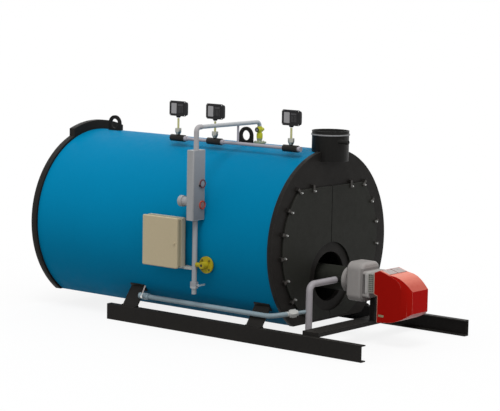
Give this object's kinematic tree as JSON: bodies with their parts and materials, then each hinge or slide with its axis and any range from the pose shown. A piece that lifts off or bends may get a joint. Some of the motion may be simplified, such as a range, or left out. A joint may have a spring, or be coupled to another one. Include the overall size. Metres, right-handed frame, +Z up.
{
  "type": "industrial boiler",
  "caption": "Horizontal packaged shell boiler on a channel skid, with a forced-draught gas burner, water column, pressure switches and a flue stub.",
  "frame": {"origin": "middle of the whole outline on the floor under the skid", "axes": "+Y along the boiler from the burner end to the rear end, +Z up, -X the side with the water column and control box"},
  "size_m": [1.799, 3.734, 1.9505],
  "materials": {
    "black_steel": "matt black paint",
    "blue_cladding": "satin blue paint on rolled sheet",
    "raw_steel": "bare dark steel",
    "grey_casting": "painted light grey casting",
    "red_cover": "red moulded cover",
    "grey_pipe": "light grey paint",
    "plated_lever": "zinc plated",
    "sight_glass": "red ring round a thick glass",
    "yellow_valve": "yellow paint on cast iron",
    "brass_stem": "dull brass",
    "black_plastic": "moulded black",
    "beige_box": "beige powder coat"
  },
  "bodies": {
    "boiler": {"skid_beam_near": "black_steel", "skid_beam_far": "black_steel", "burner_cross_beam": "black_steel", "burner_post": "black_steel", "leg_front_near": "black_steel", "leg_front_far": "black_steel", "leg_rear_near": "black_steel", "leg_rear_far": "black_steel", "shell_cladding": "blue_cladding", "front_plate": "black_steel", "door_near": "black_steel", "door_far": "black_steel", "pressure_vessel": "raw_steel", "furnace_tube": "raw_steel", "rear_ring": "black_steel", "rear_plate": "black_steel", "lifting_eye_rear": "black_steel", "lifting_eye_front": "black_steel", "flue_outlet": "black_steel", "blast_tube": "raw_steel", "burner_housing": "grey_casting", "burner_cowl": "red_cover", "gas_pipe": "grey_pipe", "gas_riser": "grey_pipe", "gas_valve": "grey_pipe", "water_column": "grey_pipe", "sight_port_upper": "sight_glass", "sight_port_lower": "sight_glass", "float_chamber": "grey_pipe", "column_top_pipe": "grey_pipe", "safety_valve": "yellow_valve", "column_drain_pipe": "grey_pipe", "feed_valve": "yellow_valve", "steam_manifold": "grey_pipe", "switch_stem_rear": "brass_stem", "switch_stem_middle": "brass_stem", "switch_stem_front": "brass_stem", "pressure_switch_rear": "black_plastic", "pressure_switch_middle": "black_plastic", "pressure_switch_front": "black_plastic", "control_box": "beige_box"},
    "gas_lever": {"gas_valve_lever": "plated_lever"},
    "drain_lever": {"drain_valve_lever": "plated_lever"},
    "box_cover": {"control_box_door": "beige_box"}
  },
  "joints": [
    {"name": "gas_lever_turn", "type": "hinge", "parent": "boiler", "child": "gas_lever", "pos_m": [-0.70546, 0.556, 0.243], "axis": [1, 0, 0], "range_deg": [-24, 66]},
    {"name": "drain_lever_turn", "type": "hinge", "parent": "boiler", "child": "drain_lever", "pos_m": [-0.79056, -0.1723, 0.439], "axis": [0, 1, 0], "range_deg": [0, 90]},
    {"name": "box_cover_hinge", "type": "hinge", "parent": "boiler", "child": "box_cover", "pos_m": [-0.8665, 0.395, 0.7925], "axis": [0, 0, -1], "range_deg": [0, 110]}
  ]
}
